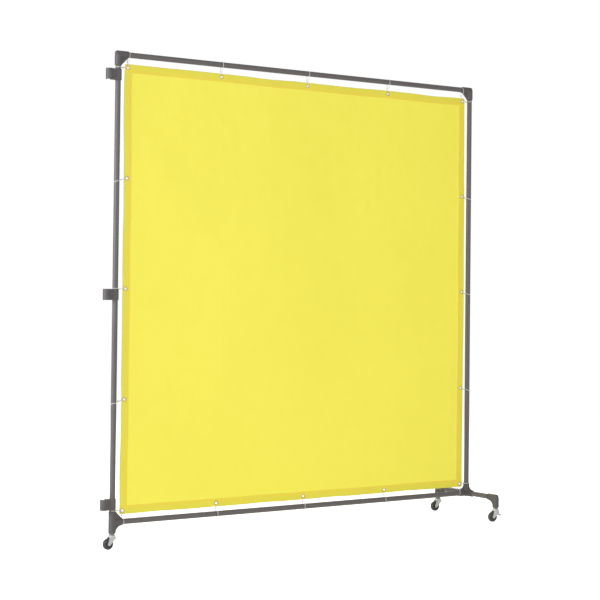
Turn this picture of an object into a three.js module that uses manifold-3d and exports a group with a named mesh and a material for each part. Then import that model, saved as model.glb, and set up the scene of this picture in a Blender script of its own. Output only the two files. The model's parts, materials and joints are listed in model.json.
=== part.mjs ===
// Welding curtain screen: a flame-retardant sheet tied into a square frame of coated steel pipe.
// The frame stands on three swivel casters: one under the left upright, two on the feet of the right upright.
// Three clips on the left upright take the upright of the next screen.
// Millimetres. +X runs along the screen, +Y points behind it, +Z is up, the floor is at Z = 0.

import * as THREE from 'three';
import { mergeVertices } from 'three/addons/utils/BufferGeometryUtils.js';
import Module from 'manifold-3d';

const wasm = await Module();
wasm.setup();

// ---------------------------------------------------------------- driving dimensions

// Frame, measured between pipe axes
const frameWidth = 2070;
const frameHeight = 2100;
const footReach = 230; // right upright's axis to a foot's caster axis
const lowPipeHeight = 120; // floor to the axis of the bottom pipe and the feet

// Pipe
const pipeRadius = 12.7;
const pipeWall = 1.2;
const runningGap = 0.3; // between a pipe and what it passes through

// Moulded joints
const socketRadius = 16.25;
const socketReach = 49; // joint centre to the mouth of a socket
const footSocketReach = 56;
const socketBottom = 17.5; // joint centre to the blind end of a socket
const pipeInset = 18; // joint centre to the end of a pipe
const casterSocketReach = 50; // joint centre to the lower face that the caster stands under
const webThickness = 10;
const webSink = 3; // how far a web reaches into the sockets it joins
const webSkin = 1; // a web's edge ends this far inside a socket's surface and behind its mouth
const armOverlap = 10; // how far two opposite arms run into each other
const stemHoleBottom = 24; // joint centre to the blind end of a caster stem's hole
const crossHollow = 5; // how far the curved edge of a web is drawn in, for each kind of joint
const teeHollow = 5;
const footHollow = 6;
const crossPad = { half: 13, top: -8 }; // the flat pad under the cross, from the joint centre

// Sheet
const sheetMarginLeft = 36; // upright axis to the sheet's edge
const sheetMarginRight = 31;
const sheetMarginTop = 44;
const sheetMarginBottom = 33;
const sheetThickness = 0.6;
const hemWidth = 38;
const hemThickness = 1.2;
const sheetCornerRadius = 6;
const eyeletInset = 15.5; // sheet's edge to an eyelet's centre
const eyeletHoleRadius = 6;
const eyeletRadius = 11.5;
const eyeletThickness = 2.6;
const eyeletsPerSide = 5;

// Cable ties
const tieWidth = 2.5;
const tieThickness = 1.1;
const tiePipeClearance = 0.4;
const tieEndRadius = 2; // inside radius of the bend that passes through the eyelet
const tieEndInset = 3.8; // eyelet's centre to the strand that passes through it
const tieHead = { along: 5, out: 3.8, across: 4.6 };
const tieHeadPlace = 0.5; // share of the way from the pipe to the eyelet
const sagOnUpright = -14; // how far a side tie slips down its upright
const shiftOnPipe = 3; // how far a tie on a level pipe sits to the right of its eyelet

// Clips for the next screen
const clipHeights = { top: 2008, middle: 1018, bottom: 80 }; // above the bottom pipe's axis
const clipHeight = 50;
const clipOuterRadius = 16;
const clipSpacing = 44; // this upright's axis to the next upright's axis
const clipBridgeHalfWidth = 11.5;
const clipMouthHalfWidth = 10;

// Casters. Heights are above the floor, x is along the fork, and the wheel trails towards -x.
const wheelRadius = 25;
const tyreHalfWidth = 9;
const casterTrail = 20;
const casterTurns = { left: 5, front: -3, rear: -1.5 }; // degrees from the screen's plane
const forkTop = 64;
const forkRadius = 16;
const crownBottom = 52;
const crownTop = 56;
const legInside = 10.6;
const legThickness = 2;
const legHalfTop = 15;
const legShoulder = 48; // where a leg without a brake starts to narrow
const axleRadius = 3;
const axleBossRadius = 7.5;
const axleHeadRadius = 5.2;
const axleHeadHeight = 1.8;
const bushRadius = 5.2;
const stemRadius = 5;
const stemBoreRadius = 5.4;
const stemTop = 94;
const stemFlange = { radius: 9.5, height: 1.8 };
const stemRivet = { radius: 7.5, height: 2.8 };
const bearingCap = { radius: 12.5, above: 0.4, height: 3.2 }; // above the fork's top
const rimRadius = 16.8;
const treadShoulder = 2.5;

// Brake pedal on the front caster
const brakePivot = { x: 10, z: 42 };
const brakePinRadius = 2;
const brakeLobeRadius = 6;
const pedalTip = { x: 37, z: 28 };
const pedalHalfWidth = 9;
const brakeShoe = { x: 7.6, z: 35.4, radius: 3 };
const pedalRootRadius = 4.5;
const pedalPlate = 5; // depth of the pedal's tread with its turned-down rim
const pedalFlat = 12; // length of the level part of the tread, at its tip
const pinHeadRadius = 3.6;
const pinHeadHeight = 1.4;

// Facets round a full turn
const pipeSides = 24;
const smallSides = 16;
const tyreSides = 32;
const eyeletHoleSides = 12;
const tieBendSteps = 10; // round the pipe
const tieEndSteps = 4; // through the eyelet

// ---------------------------------------------------------------- materials

function paint(color, roughness, metalness) {
  return new THREE.MeshStandardMaterial({ color, roughness, metalness });
}

const pipeCoat = () => paint(0x6a6564, 0.42, 0.1);
const jointPlastic = () => paint(0x5f5b5b, 0.5, 0);
const clipPlastic = () => paint(0x656262, 0.5, 0);
const sheetVinyl = () => paint(0xf4e85a, 0.35, 0);
const tieNylon = () => paint(0xe6e4e0, 0.45, 0);
const zincPlate = () => paint(0xc4c6c6, 0.32, 0.85);
const tyreRubber = () => paint(0x34343a, 0.8, 0);
const hubPlastic = () => paint(0x55555a, 0.5, 0);

// ---------------------------------------------------------------- solid helpers

// A closed geometry as a solid that can be joined and cut.
function solid(geometry) {
  const bare = geometry.clone();
  bare.deleteAttribute('normal');
  bare.deleteAttribute('uv');
  const merged = mergeVertices(bare, 1e-4);
  const index = merged.index.array;
  const triangles = [];
  for (let i = 0; i < index.length; i += 3) {
    const [a, b, c] = [index[i], index[i + 1], index[i + 2]];
    if (a !== b && b !== c && c !== a) triangles.push(a, b, c);
  }
  const vertProperties = new Float32Array(merged.attributes.position.array);
  const triVerts = new Uint32Array(triangles);
  return new wasm.Manifold(new wasm.Mesh({ numProp: 3, vertProperties, triVerts }));
}

// A solid back as a geometry with flat facets.
function geometryOf(body) {
  const mesh = body.getMesh();
  const geometry = new THREE.BufferGeometry();
  geometry.setAttribute('position', new THREE.BufferAttribute(new Float32Array(mesh.vertProperties), 3));
  geometry.setIndex(new THREE.BufferAttribute(new Uint32Array(mesh.triVerts), 1));
  geometry.computeVertexNormals();
  return geometry;
}

const joined = (bodies) => bodies.reduce((whole, body) => whole.add(body));
const cut = (body, tools) => tools.reduce((rest, tool) => rest.subtract(tool), body);

// Turns a geometry made along +Y so that it runs along the named axis.
function along(axis, geometry) {
  if (axis === 'x') geometry.rotateZ(-Math.PI / 2);
  if (axis === 'z') geometry.rotateX(Math.PI / 2);
  return geometry;
}

function rod(axis, radius, from, to, sides = pipeSides) {
  const geometry = new THREE.CylinderGeometry(radius, radius, to - from, sides);
  geometry.translate(0, (from + to) / 2, 0);
  return along(axis, geometry);
}

// A ring or stepped shaft: profile points are [radius, place along the axis].
function turned(axis, profile, sides = smallSides) {
  const points = profile.map(([radius, place]) => new THREE.Vector2(radius, place));
  return along(axis, new THREE.LatheGeometry(points, sides));
}

function ring(axis, inner, outer, from, to, sides) {
  return turned(axis, [[inner, from], [outer, from], [outer, to], [inner, to], [inner, from]], sides);
}

function block(x, y, z) {
  const geometry = new THREE.BoxGeometry(x[1] - x[0], y[1] - y[0], z[1] - z[0]);
  return geometry.translate((x[0] + x[1]) / 2, (y[0] + y[1]) / 2, (z[0] + z[1]) / 2);
}

// A flat plate standing in the XZ plane, drawn as a shape in x and z, between two places in Y.
function plateXZ(shape, yFrom, yTo, curveSegments = 6) {
  const depth = yTo - yFrom;
  const geometry = new THREE.ExtrudeGeometry(shape, { depth, bevelEnabled: false, curveSegments });
  geometry.rotateX(Math.PI / 2);
  return geometry.translate(0, yTo, 0);
}

// ---------------------------------------------------------------- scene graph

const screen = new THREE.Group();

function place(name, geometry, material, parent = screen, position = [0, 0, 0]) {
  const mesh = new THREE.Mesh(geometry, material);
  mesh.name = name;
  mesh.position.set(...position);
  parent.add(mesh);
  return mesh;
}

const leftX = -frameWidth / 2;
const rightX = frameWidth / 2;
const lowZ = lowPipeHeight;
const topZ = lowPipeHeight + frameHeight;

// ---------------------------------------------------------------- pipes

function pipe(name, axis, start, length) {
  place(name, ring(axis, pipeRadius - pipeWall, pipeRadius, 0, length, pipeSides), pipeCoat(), screen, start);
}

const levelLength = frameWidth - 2 * pipeInset;
const uprightLength = frameHeight - 2 * pipeInset;
const footLength = footReach - 2 * pipeInset;
pipe('top_pipe', 'x', [leftX + pipeInset, 0, topZ], levelLength);
pipe('bottom_pipe', 'x', [leftX + pipeInset, 0, lowZ], levelLength);
pipe('left_upright', 'z', [leftX, 0, lowZ + pipeInset], uprightLength);
pipe('right_upright', 'z', [rightX, 0, lowZ + pipeInset], uprightLength);
pipe('front_foot_pipe', 'y', [rightX, -footReach + pipeInset, lowZ], footLength);
pipe('rear_foot_pipe', 'y', [rightX, pipeInset, lowZ], footLength);

// ---------------------------------------------------------------- moulded joints

// A joint is made of arms round one centre. An arm is { axis, sign, reach, takes },
// where takes says what its mouth holds: a pipe or a caster stem.
function arm(axis, sign, reach = socketReach, takes = 'pipe') {
  return { axis, sign, reach, takes };
}

function armRod({ axis, sign }, radius, from, to, sides) {
  return solid(sign > 0 ? rod(axis, radius, from, to, sides) : rod(axis, radius, -to, -from, sides));
}

// The web between two arms at a right angle, straight or hollowed by a curve.
function web(horizontal, vertical, hollow) {
  const low = socketRadius - webSink;
  const skin = socketRadius - webSkin;
  const out = horizontal.reach - webSkin;
  const up = vertical.reach - webSkin;
  const shape = new THREE.Shape();
  shape.moveTo(low, low);
  shape.lineTo(out, low);
  shape.lineTo(out, skin);
  if (hollow) shape.quadraticCurveTo(skin + hollow, skin + hollow, skin, up);
  else shape.lineTo(skin, up);
  shape.lineTo(low, up);
  const plate = plateXZ(shape, -webThickness / 2, webThickness / 2);
  const frame = new THREE.Matrix4();
  const side = new THREE.Vector3();
  side.setComponent('xyz'.indexOf(horizontal.axis), horizontal.sign);
  const rise = new THREE.Vector3(0, 0, vertical.sign);
  frame.makeBasis(side, new THREE.Vector3().crossVectors(rise, side), rise);
  return solid(plate.applyMatrix4(frame));
}

// Each web is [level arm, upright arm, hollow]; extras are solids joined on at the centre.
function joint(name, centre, arms, webs, extras) {
  const hasOpposite = (a) => arms.some((b) => b !== a && b.axis === a.axis);
  const bodies = arms.map((a) => armRod(a, socketRadius, hasOpposite(a) ? -armOverlap : 0, a.reach));
  bodies.push(...extras);
  webs.forEach(([level, upright, hollow]) => bodies.push(web(arms[level], arms[upright], hollow)));
  const tools = arms.map((a) => (a.takes === 'pipe'
    ? armRod(a, pipeRadius + runningGap, socketBottom, a.reach + 1)
    : armRod(a, stemBoreRadius, stemHoleBottom, a.reach + 1, smallSides)));
  place(name, geometryOf(cut(joined(bodies), tools)), jointPlastic(), screen, centre);
}

const casterArm = arm('z', -1, casterSocketReach, 'stem');
const ball = () => solid(new THREE.SphereGeometry(socketRadius, pipeSides, pipeSides / 2));
const pad = () => solid(block([-crossPad.half, crossPad.half], [-crossPad.half, crossPad.half],
  [-socketRadius, crossPad.top]));
joint('top_left_elbow', [leftX, 0, topZ], [arm('x', 1), arm('z', -1)], [[0, 1, 0]], [ball()]);
joint('top_right_elbow', [rightX, 0, topZ], [arm('x', -1), arm('z', -1)], [[0, 1, 0]], [ball()]);
joint('bottom_left_tee', [leftX, 0, lowZ], [arm('x', 1), arm('z', 1), casterArm],
  [[0, 1, 0], [0, 2, teeHollow]], []);
joint('bottom_right_cross', [rightX, 0, lowZ], [arm('x', -1), arm('y', -1), arm('y', 1), arm('z', 1)],
  [[0, 3, crossHollow], [1, 3, crossHollow], [2, 3, crossHollow]], [pad()]);
joint('front_foot_elbow', [rightX, -footReach, lowZ], [arm('y', 1, footSocketReach), casterArm],
  [[0, 1, footHollow]], [ball()]);
joint('rear_foot_elbow', [rightX, footReach, lowZ], [arm('y', -1, footSocketReach), casterArm],
  [[0, 1, footHollow]], [ball()]);

// ---------------------------------------------------------------- clips for the next screen

// A clip turns on this screen's upright by a closed ring, and holds the next upright in an open one,
// whose mouth faces behind the screen.
function clipGeometry() {
  const half = clipHeight / 2;
  const bore = pipeRadius + runningGap;
  const post = (radius, x) => solid(rod('z', radius, -half, half).translate(x, 0, 0));
  const hole = (radius, x) => solid(rod('z', radius, -half - 1, half + 1).translate(x, 0, 0));
  const bridge = block([-clipSpacing, 0], [-clipBridgeHalfWidth, clipBridgeHalfWidth], [-half, half]);
  const mouth = block([-clipSpacing - clipMouthHalfWidth, -clipSpacing + clipMouthHalfWidth],
    [0, clipOuterRadius + 1], [-half - 1, half + 1]);
  const body = joined([post(clipOuterRadius, 0), post(clipOuterRadius, -clipSpacing), solid(bridge)]);
  // The pocket is turned by half a facet, so that one facet faces the mouth squarely.
  const seat = rod('z', bore, -half - 1, half + 1).rotateZ(Math.PI / pipeSides);
  const pocket = solid(seat.translate(-clipSpacing, 0, 0));
  return geometryOf(cut(body, [hole(bore, 0), pocket, solid(mouth)]));
}

for (const [level, height] of Object.entries(clipHeights)) {
  place(`${level}_clip`, clipGeometry(), clipPlastic(), screen, [leftX, 0, lowZ + height]);
}

// ---------------------------------------------------------------- sheet

const sheetLeft = leftX + sheetMarginLeft;
const sheetRight = rightX - sheetMarginRight;
const sheetBottom = lowZ + sheetMarginBottom;
const sheetTop = topZ - sheetMarginTop;

function roundedOutline(inset, radius) {
  const [left, right] = [sheetLeft + inset, sheetRight - inset];
  const [bottom, top] = [sheetBottom + inset, sheetTop - inset];
  const shape = new THREE.Shape();
  shape.moveTo(left + radius, bottom);
  shape.lineTo(right - radius, bottom);
  shape.absarc(right - radius, bottom + radius, radius, -Math.PI / 2, 0, false);
  shape.lineTo(right, top - radius);
  shape.absarc(right - radius, top - radius, radius, 0, Math.PI / 2, false);
  shape.lineTo(left + radius, top);
  shape.absarc(left + radius, top - radius, radius, Math.PI / 2, Math.PI, false);
  shape.lineTo(left, bottom + radius);
  shape.absarc(left + radius, bottom + radius, radius, Math.PI, Math.PI * 1.5, false);
  return shape;
}

// Eyelet centres along one side, first to last.
function eyeletPlaces(low, high) {
  const first = low + eyeletInset;
  const pitch = (high - low - 2 * eyeletInset) / (eyeletsPerSide - 1);
  return Array.from({ length: eyeletsPerSide }, (_, i) => first + i * pitch);
}

const eyeletsX = eyeletPlaces(sheetLeft, sheetRight);
const eyeletsZ = eyeletPlaces(sheetBottom, sheetTop);
const isEdge = (i) => i === 0 || i === eyeletsPerSide - 1;

// The sheet carries its folded hem and its pressed-in eyelets.
function sheetGeometry() {
  const field = plateXZ(roundedOutline(0, sheetCornerRadius), -sheetThickness / 2, sheetThickness / 2);
  const hemShape = roundedOutline(0, sheetCornerRadius);
  const inside = roundedOutline(hemWidth, sheetCornerRadius / 2);
  hemShape.holes.push(new THREE.Path(inside.getPoints(4)));
  const hem = plateXZ(hemShape, -hemThickness / 2, hemThickness / 2);
  const half = eyeletThickness / 2;
  const rims = [];
  const holes = [];
  eyeletsX.forEach((x, i) => eyeletsZ.forEach((z, k) => {
    if (!isEdge(i) && !isEdge(k)) return;
    rims.push(solid(rod('y', eyeletRadius, -half, half, smallSides).translate(x, 0, z)));
    holes.push(solid(rod('y', eyeletHoleRadius, -half - 1, half + 1, eyeletHoleSides).translate(x, 0, z)));
  }));
  return geometryOf(cut(joined([solid(field), solid(hem), ...rims]), holes));
}

place('curtain_sheet', sheetGeometry(), sheetVinyl());

// ---------------------------------------------------------------- cable ties

function arcPoints(centreX, radius, from, to, steps) {
  const angles = Array.from({ length: steps + 1 }, (_, i) => from + ((to - from) * i) / steps);
  return angles.map((a) => new THREE.Vector2(centreX + radius * Math.cos(a), radius * Math.sin(a)));
}

// One loop, from the pipe's axis (origin) to an eyelet at (reach, 0): round the pipe, through the eyelet.
function loopPoints(reach, offset) {
  const pipeBend = pipeRadius + tiePipeClearance + offset;
  const endBend = tieEndRadius + offset;
  const endCentre = reach - tieEndInset - tieEndRadius;
  const lean = Math.acos((pipeBend - endBend) / endCentre); // where the straight strands touch both bends
  return [...arcPoints(0, pipeBend, lean, Math.PI * 2 - lean, tieBendSteps),
    ...arcPoints(endCentre, endBend, -lean, lean, tieEndSteps)];
}

// slip moves the band along its pipe while the other end stays in the eyelet.
function tieGeometry(reach, slip) {
  const shape = new THREE.Shape(loopPoints(reach, tieThickness));
  shape.holes.push(new THREE.Path(loopPoints(reach, 0)));
  const band = new THREE.ExtrudeGeometry(shape, { depth: tieWidth, bevelEnabled: false });
  band.translate(0, 0, -tieWidth / 2);
  const headX = reach * tieHeadPlace;
  const pipeBend = pipeRadius + tiePipeClearance;
  const strandY = pipeBend + (tieEndRadius - pipeBend) * (headX / (reach - tieEndInset));
  const head = block([headX - tieHead.along / 2, headX + tieHead.along / 2],
    [strandY + tieThickness / 2, strandY + tieHead.out + tieThickness],
    [-tieHead.across / 2, tieHead.across / 2]);
  const slant = new THREE.Matrix4().set(1, 0, 0, 0, 0, 1, 0, 0, -slip / reach, 0, 1, slip, 0, 0, 0, 1);
  return geometryOf(joined([solid(band), solid(head)])).applyMatrix4(slant);
}

// Each side says where its pipe is, how the loop is turned about Y, and which way the loop's own Z then runs.
const sides = {
  left: { level: false, pipeAt: leftX, margin: sheetMarginLeft, turn: 0, sense: 1 },
  top: { level: true, pipeAt: topZ, margin: sheetMarginTop, turn: Math.PI / 2, sense: 1 },
  right: { level: false, pipeAt: rightX, margin: sheetMarginRight, turn: Math.PI, sense: -1 },
  bottom: { level: true, pipeAt: lowZ, margin: sheetMarginBottom, turn: -Math.PI / 2, sense: -1 },
};

function tie(name, side, eyelet, slip) {
  const { level, pipeAt, margin, turn, sense } = sides[side];
  const reach = margin + eyeletInset;
  const position = level ? [eyelet, 0, pipeAt] : [pipeAt, 0, eyelet];
  const mesh = place(name, tieGeometry(reach, slip * sense), tieNylon(), screen, position);
  mesh.rotation.y = turn;
}

// Ties between the corners hang at their eyelets; a corner tie sits against the mouth of the joint.
const cornerGap = { level: 2.5, upright: 1 }; // mouth of a joint to the nearer edge of a corner tie
const middleEyelet = (eyeletsPerSide - 1) / 2;
const clipTop = lowZ + clipHeights.middle + clipHeight / 2; // the middle tie on the left lies on this clip
for (const [side, { level }] of Object.entries(sides)) {
  const eyelets = level ? eyeletsX : eyeletsZ;
  const ends = level ? [leftX, rightX] : [lowZ, topZ];
  const cornerPlace = socketReach + tieWidth / 2 + (level ? cornerGap.level : cornerGap.upright);
  eyelets.forEach((eyelet, i) => {
    let slip = level ? shiftOnPipe : sagOnUpright;
    if (side === 'left' && i === middleEyelet) slip = clipTop + tieWidth - eyelet;
    if (i === 0) slip = Math.max(ends[0] + cornerPlace, eyelet) - eyelet;
    if (i === eyeletsPerSide - 1) slip = Math.min(ends[1] - cornerPlace, eyelet) - eyelet;
    tie(`${side}_tie_${i + 1}`, side, eyelet, slip);
  });
}

// ---------------------------------------------------------------- casters

// The fork's side: a plate that narrows from the crown to the axle, with a lobe for a brake pin.
function legShape(hasBrake) {
  const shape = new THREE.Shape();
  const axleX = -casterTrail;
  shape.moveTo(-legHalfTop, crownTop);
  shape.lineTo(legHalfTop, crownTop);
  if (hasBrake) {
    shape.lineTo(brakePivot.x + brakeLobeRadius, brakePivot.z);
    shape.absarc(brakePivot.x, brakePivot.z, brakeLobeRadius, 0, -Math.PI / 2, true);
  } else {
    shape.lineTo(legHalfTop, legShoulder);
  }
  shape.absarc(axleX, wheelRadius, axleBossRadius, -Math.PI / 4, -Math.PI * 1.1, true);
  shape.lineTo(-legHalfTop, legShoulder);
  return shape;
}

function forkGeometry(hasBrake) {
  const outside = legInside + legThickness;
  const shape = legShape(hasBrake);
  const bodies = [
    solid(plateXZ(shape, legInside, outside)),
    solid(plateXZ(shape, -outside, -legInside)),
    solid(block([-legHalfTop, legHalfTop], [-outside, outside], [crownBottom, crownTop])),
    solid(rod('z', forkRadius, crownTop - 1, forkTop, smallSides)),
  ];
  const tools = [
    solid(rod('z', stemBoreRadius, crownBottom - 1, forkTop + 1, smallSides)),
    solid(rod('y', axleRadius + runningGap, -outside - 1, outside + 1, smallSides)
      .translate(-casterTrail, 0, wheelRadius)),
  ];
  if (hasBrake) {
    tools.push(solid(rod('y', brakePinRadius + runningGap, -outside - 1, outside + 1, smallSides)
      .translate(brakePivot.x, 0, brakePivot.z)));
  }
  return geometryOf(cut(joined(bodies), tools));
}

// The stem is riveted under the crown and goes up into the joint.
function stemGeometry() {
  const rivetTop = crownBottom - runningGap;
  const rivetBottom = rivetTop - stemRivet.height;
  const flangeTop = lowPipeHeight - casterSocketReach - runningGap;
  const flangeBottom = flangeTop - stemFlange.height;
  return turned('z', [[0, rivetBottom], [stemRivet.radius, rivetBottom], [stemRivet.radius, rivetTop],
    [stemRadius, rivetTop], [stemRadius, flangeBottom], [stemFlange.radius, flangeBottom],
    [stemFlange.radius, flangeTop], [stemRadius, flangeTop], [stemRadius, stemTop], [0, stemTop]]);
}

function bearingGeometry() {
  const bottom = forkTop + bearingCap.above;
  return ring('z', stemBoreRadius, bearingCap.radius, bottom, bottom + bearingCap.height);
}

// A pin across both legs of the fork, with a head outside each.
function headedPin(radius, headRadius, headHeight) {
  const inner = legInside + legThickness + runningGap;
  const outer = inner + headHeight;
  return turned('y', [[0, -outer], [headRadius, -outer], [headRadius, -inner], [radius, -inner],
    [radius, inner], [headRadius, inner], [headRadius, outer], [0, outer]]);
}

function axleGeometry() {
  return headedPin(axleRadius, axleHeadRadius, axleHeadHeight);
}

function bushGeometry() {
  const half = legInside - runningGap;
  return ring('y', axleRadius + runningGap, bushRadius, -half, half);
}

// The hub is thick at its middle and at its rim, and thin between them.
function hubGeometry() {
  const bore = bushRadius + runningGap;
  const bossRadius = 9;
  const bossHalf = 9.6;
  const diskHalf = 4;
  const rimHalf = 7.5;
  const rimInside = 14;
  const outward = [[bore, bossHalf], [bossRadius, bossHalf], [bossRadius, diskHalf], [rimInside, diskHalf],
    [rimInside, rimHalf], [rimRadius, rimHalf]];
  const lower = outward.map(([radius, y]) => [radius, -y]);
  const upper = outward.slice().reverse();
  return turned('y', [...lower, ...upper, lower[0]]);
}

// The tread's flats stand at the wheel's radius, and one of them is flat on the floor.
function tyreGeometry() {
  const inner = rimRadius + runningGap;
  const tread = wheelRadius / Math.cos(Math.PI / tyreSides);
  const wall = tread - treadShoulder;
  const flat = tyreHalfWidth - treadShoulder;
  const geometry = turned('y', [[inner, -tyreHalfWidth], [wall, -tyreHalfWidth], [tread, -flat],
    [tread, flat], [wall, tyreHalfWidth], [inner, tyreHalfWidth], [inner, -tyreHalfWidth]], tyreSides);
  return geometry.rotateY(Math.PI / tyreSides);
}

// The pedal turns on the brake pin. Pressing its tip swings the shoe below the pin against the tyre.
function pedalGeometry() {
  const root = new THREE.Shape();
  root.absarc(0, 0, pedalRootRadius, 0, Math.PI * 2, false);
  const tread = new THREE.Shape();
  const tipX = pedalTip.x - brakePivot.x;
  const tipZ = pedalTip.z - brakePivot.z;
  tread.moveTo(0, pedalRootRadius);
  tread.lineTo(0, -1);
  tread.lineTo(tipX - pedalFlat, tipZ);
  tread.lineTo(tipX, tipZ);
  tread.lineTo(tipX, tipZ + pedalPlate);
  tread.lineTo(tipX - pedalFlat + 1, tipZ + pedalPlate);
  const shoe = new THREE.Shape();
  const shoeX = brakeShoe.x - brakePivot.x;
  const shoeZ = brakeShoe.z - brakePivot.z;
  shoe.absarc(shoeX, shoeZ, brakeShoe.radius, 0, Math.PI * 2, false);
  const parts = [root, tread, shoe].map((shape) => solid(plateXZ(shape, -pedalHalfWidth, pedalHalfWidth)));
  const reach = pedalHalfWidth + 1;
  const pinHole = solid(rod('y', brakePinRadius + runningGap, -reach, reach, smallSides));
  return geometryOf(cut(joined(parts), [pinHole]));
}

function brakePinGeometry() {
  return headedPin(brakePinRadius, pinHeadRadius, pinHeadHeight);
}

function caster(name, x, y, hasBrake) {
  const group = new THREE.Group();
  group.position.set(x, y, 0);
  group.rotation.z = THREE.MathUtils.degToRad(casterTurns[name]);
  screen.add(group);
  const wheelAt = [-casterTrail, 0, wheelRadius];
  const pinAt = [brakePivot.x, 0, brakePivot.z];
  place(`${name}_caster_stem`, stemGeometry(), zincPlate(), group);
  place(`${name}_caster_bearing`, bearingGeometry(), zincPlate(), group);
  place(`${name}_caster_fork`, forkGeometry(hasBrake), zincPlate(), group);
  place(`${name}_caster_axle`, axleGeometry(), zincPlate(), group, wheelAt);
  place(`${name}_caster_bush`, bushGeometry(), zincPlate(), group, wheelAt);
  place(`${name}_wheel_hub`, hubGeometry(), hubPlastic(), group, wheelAt);
  place(`${name}_wheel_tyre`, tyreGeometry(), tyreRubber(), group, wheelAt);
  if (hasBrake) {
    place(`${name}_brake_pedal`, pedalGeometry(), zincPlate(), group, pinAt);
    place(`${name}_brake_pin`, brakePinGeometry(), zincPlate(), group, pinAt);
  }
}

caster('left', leftX, 0, false);
caster('front', rightX, -footReach, true);
caster('rear', rightX, footReach, false);

// ---------------------------------------------------------------- origin

// The origin is the middle of the footprint, on the floor.
const bounds = new THREE.Box3().setFromObject(screen, true);
const middle = bounds.getCenter(new THREE.Vector3());
screen.position.set(-middle.x, -middle.y, -bounds.min.z);

export default screen;
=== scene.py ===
import json
import math

import bmesh
import bpy
import numpy as np
from mathutils import Matrix, Vector


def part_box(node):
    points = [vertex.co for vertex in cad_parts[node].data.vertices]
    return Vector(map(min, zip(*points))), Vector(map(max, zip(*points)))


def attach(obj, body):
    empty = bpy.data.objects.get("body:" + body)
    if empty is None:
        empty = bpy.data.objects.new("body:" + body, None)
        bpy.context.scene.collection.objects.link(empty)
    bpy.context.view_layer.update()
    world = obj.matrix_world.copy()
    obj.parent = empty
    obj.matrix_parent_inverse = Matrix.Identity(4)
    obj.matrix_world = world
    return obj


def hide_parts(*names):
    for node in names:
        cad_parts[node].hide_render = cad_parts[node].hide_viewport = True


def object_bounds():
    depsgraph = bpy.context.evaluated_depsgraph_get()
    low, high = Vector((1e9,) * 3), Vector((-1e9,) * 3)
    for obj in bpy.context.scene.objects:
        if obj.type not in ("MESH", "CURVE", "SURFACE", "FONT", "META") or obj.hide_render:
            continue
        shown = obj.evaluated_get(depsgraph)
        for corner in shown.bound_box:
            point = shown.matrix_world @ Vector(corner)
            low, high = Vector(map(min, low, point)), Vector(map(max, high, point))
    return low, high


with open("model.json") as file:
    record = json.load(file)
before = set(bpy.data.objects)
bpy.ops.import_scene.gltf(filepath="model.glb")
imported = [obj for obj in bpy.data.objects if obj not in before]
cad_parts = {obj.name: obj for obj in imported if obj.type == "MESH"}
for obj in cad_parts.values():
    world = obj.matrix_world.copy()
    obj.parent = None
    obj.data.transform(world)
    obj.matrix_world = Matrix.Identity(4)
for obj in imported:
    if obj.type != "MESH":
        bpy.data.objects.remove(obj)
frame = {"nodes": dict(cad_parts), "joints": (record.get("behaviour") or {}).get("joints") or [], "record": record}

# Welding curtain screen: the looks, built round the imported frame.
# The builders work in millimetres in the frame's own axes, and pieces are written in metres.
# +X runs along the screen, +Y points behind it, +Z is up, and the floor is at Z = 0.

CAD_LOW, CAD_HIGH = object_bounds()
MM = 0.001
SMOOTH_DEGREES = 35.0  # faces that meet at less than this are shaded as one

# ---- sizes in millimetres

PIPE_WALL = 1.2
PIPE_LIP = 0.4
PIPE_SIDES = 72

SOCKET_WALL = 3.55
SOCKET_BOTTOM = 17.5  # joint centre to the blind end of a socket
SOCKET_GAP = 0.3  # between a pipe and the socket round it
STEM_HOLE_RADIUS = 5.4
STEM_HOLE_BOTTOM = 24.0
MOUTH_EDGE = 1.2
FOOT_MOUTH_EDGE = 3.0
ELBOW_CORNER = 11.0
ARM_FILLET = 2.5
WEB_THICKNESS = 10.0
WEB_FILLET = 3.5
WEB_EDGE = 1.6
WEB_SKIN = 1.0
WEB_HOLLOW = 5.0
FOOT_WEB_HOLLOW = 6.0
CROSS_PAD = 13.0
CROSS_PAD_TOP = -8.0
JOINT_CELL = 1.15  # side of the cells that a moulded joint's surface is made from

CLIP_SPACING = 44.0
CLIP_RADIUS = 16.0
CLIP_BRIDGE = 11.5
CLIP_MOUTH = 10.0
CLIP_EDGE = 1.1
CLIP_CELL = 0.95

HEM = 38.0
HEM_STEP = 0.8
FIELD_HALF = 0.3
HEM_HALF = 0.6
EYELET_INSET = 15.5
EYELETS_PER_SIDE = 5
EYELET_SIDES = 48
HOLE_IN_SHEET = 7.2
HOLE_GRID = 10.5  # half the side of the fine grid round a hole
SHEET_CORNER = 6.0

TIE_WIDTH = 2.5
TIE_THICKNESS = 1.1
TIE_END_RADIUS = 2.0
TIE_END_INSET = 3.8
TIE_PIPE_GAP = 0.4
TIE_HEAD_SHARE = 0.52  # of the way from the pipe's axis to the eyelet
TIE_TAIL = 5  # stations
TIE_TOOTH = 0.22
TIE_CELL = 0.4

# ---- places taken from the frame


def box_mm(node):
    """The lowest and highest corner of a CAD node, in millimetres."""
    low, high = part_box(node)
    return np.array(low) / MM, np.array(high) / MM


def middle_mm(node):
    low, high = box_mm(node)
    return (low + high) / 2


JOINTS = {joint["name"]: joint for joint in frame["joints"]}
BODY_OF = {node: body for body, nodes in frame["record"]["behaviour"]["bodies"].items() for node in nodes}

PLANE_Y = middle_mm("left_upright")[1]
LEFT_X = middle_mm("left_upright")[0]
RIGHT_X = middle_mm("right_upright")[0]
LOW_Z = middle_mm("bottom_pipe")[2]
TOP_Z = middle_mm("top_pipe")[2]
PIPE_RADIUS = (box_mm("left_upright")[1][1] - box_mm("left_upright")[0][1]) / 2
SHEET_LOW, SHEET_HIGH = box_mm("curtain_sheet")
SHEET_WIDTH, _, SHEET_HEIGHT = SHEET_HIGH - SHEET_LOW

# ---- pieces


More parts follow.
